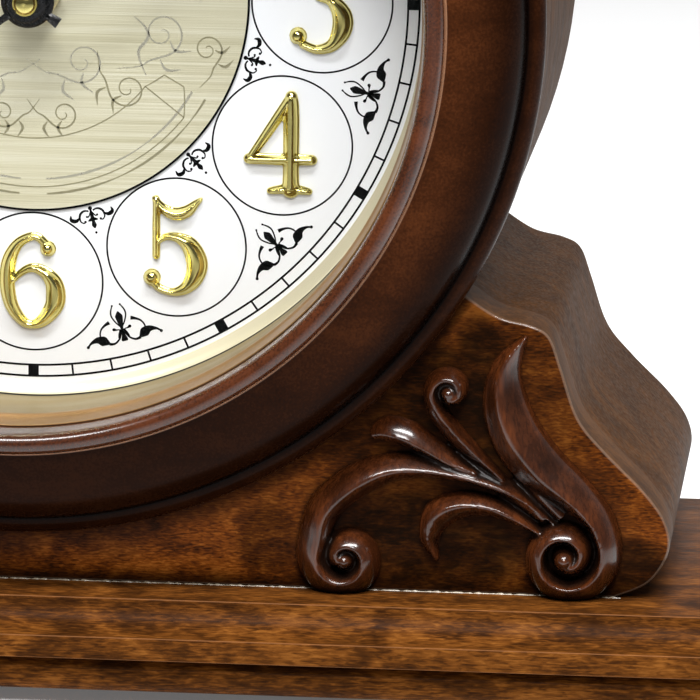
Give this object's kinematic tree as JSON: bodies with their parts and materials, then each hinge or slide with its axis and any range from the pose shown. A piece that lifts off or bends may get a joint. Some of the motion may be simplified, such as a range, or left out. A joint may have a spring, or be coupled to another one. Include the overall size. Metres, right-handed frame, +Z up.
{
  "type": "mantel clock",
  "caption": "Wooden mantel clock with a round moulded bezel, white dial with raised numerals, scrolled carved shoulders, a moulded base and a battery chiming movement behind a rear door.",
  "frame": {"origin": "centre of the footprint, on the surface that the feet rest on", "axes": "+X to the right seen from the dial side, +Y to the rear, +Z up"},
  "size_m": [0.388, 0.158, 0.3152],
  "materials": {
    "case_wood": "stained satin lacquer",
    "bezel_wood": "dark red-brown gloss lacquer",
    "carved_wood": "dark red-brown gloss lacquer",
    "base_wood": "stained satin lacquer",
    "raw_wood": "bare",
    "back_wood": "stained matt",
    "brass": "polished",
    "gold_numeral": "mirror polished",
    "brushed_brass": "brushed and engraved",
    "steel": "plated",
    "glass": "clear",
    "dial_white": "satin white enamel",
    "hand_black": "satin",
    "movement_plastic": "fine texture",
    "gear_plastic": "natural",
    "board": "solder mask",
    "copper": "enamelled wire",
    "cell": "printed sleeve",
    "magnet_metal": "ferrite",
    "cone_paper": "pressed pulp",
    "rubber": "matt",
    "lead": "pvc"
  },
  "bodies": {
    "case": {"front_panel": "case_wood", "arch_shell": "case_wood", "side_shell_left": "case_wood", "side_shell_right": "case_wood", "bottom_board": "raw_wood", "glue_blocks": "raw_wood", "back_panel": "back_wood", "back_screws": "steel", "hinge_frame_leaves": "brass", "hinge_pins": "brass", "hinge_frame_screws": "brass", "magnet_catch": "movement_plastic", "base_board": "base_wood", "base_plinth": "base_wood", "rubber_feet": "rubber", "foot_screws": "steel", "base_screws": "steel", "onlay_left": "carved_wood", "onlay_right": "carved_wood", "bezel_ring": "bezel_wood", "glass": "glass", "glass_ring": "brass", "rehaut": "brass", "dial_spacer": "raw_wood", "dial_plate": "dial_white", "dial_disc": "brushed_brass", "dial_backboard": "raw_wood", "dial_screws": "steel", "numerals": "gold_numeral", "bush_nut": "brass", "movement_front": "movement_plastic", "movement_rear": "movement_plastic", "movement_screws": "steel", "train_plate": "gear_plastic", "motor_housing": "gear_plastic", "motor_coil": "copper", "circuit_board": "board", "batteries": "cell", "battery_contacts": "steel", "speaker_frame": "steel", "speaker_cone": "cone_paper", "speaker_magnet": "magnet_metal", "speaker_screws": "steel", "speaker_lead": "lead"},
    "minute_group": {"centre_arbor": "brass", "minute_hand": "hand_black", "hand_cap": "gold_numeral"},
    "hour_group": {"hour_wheel": "gear_plastic", "hour_hand": "hand_black"},
    "motion_group": {"motion_wheel": "gear_plastic"},
    "third_group": {"third_wheel": "gear_plastic"},
    "set_group": {"set_knob": "movement_plastic"},
    "door": {"back_door": "back_wood", "hinge_door_leaves": "brass", "hinge_door_screws": "brass", "door_knob": "brass", "strike_plate": "steel"},
    "cover": {"battery_cover": "movement_plastic"},
    "selector": {"chime_selector": "gear_plastic"},
    "volume": {"volume_slider": "gear_plastic"}
  },
  "joints": [
    {"name": "minute_spin", "type": "hinge", "parent": "case", "child": "minute_group", "pos_m": [0, 0, 0.1785], "axis": [0, 1, 0], "continuous": true},
    {"name": "hour_spin", "type": "hinge", "parent": "case", "child": "hour_group", "pos_m": [0, 0, 0.1785], "axis": [0, 1, 0], "continuous": true},
    {"name": "motion_spin", "type": "hinge", "parent": "case", "child": "motion_group", "pos_m": [0.01039, 0, 0.1725], "axis": [0, 1, 0], "continuous": true},
    {"name": "third_spin", "type": "hinge", "parent": "case", "child": "third_group", "pos_m": [-0.00567, 0, 0.18832], "axis": [0, 1, 0], "continuous": true},
    {"name": "set_spin", "type": "hinge", "parent": "case", "child": "set_group", "pos_m": [0.02079, 0, 0.1665], "axis": [0, 1, 0], "continuous": true},
    {"name": "door_hinge", "type": "hinge", "parent": "case", "child": "door", "pos_m": [-0.0752, 0.0756, 0.1785], "axis": [0, 0, 1], "range_deg": [0, 105]},
    {"name": "battery_cover_slide", "type": "slide", "parent": "case", "child": "cover", "axis": [1, 0, 0], "range_m": [0, 0.014]},
    {"name": "chime_selector_slide", "type": "slide", "parent": "case", "child": "selector", "axis": [1, 0, 0], "range_m": [0, 0.008]},
    {"name": "volume_slide", "type": "slide", "parent": "case", "child": "volume", "axis": [1, 0, 0], "range_m": [0, 0.008]}
  ],
  "couplings": [
    {"joint": "hour_spin", "follows": "minute_spin", "ratio": 0.083333},
    {"joint": "motion_spin", "follows": "minute_spin", "ratio": -0.33333},
    {"joint": "third_spin", "follows": "minute_spin", "ratio": -6},
    {"joint": "set_spin", "follows": "minute_spin", "ratio": 1}
  ]
}
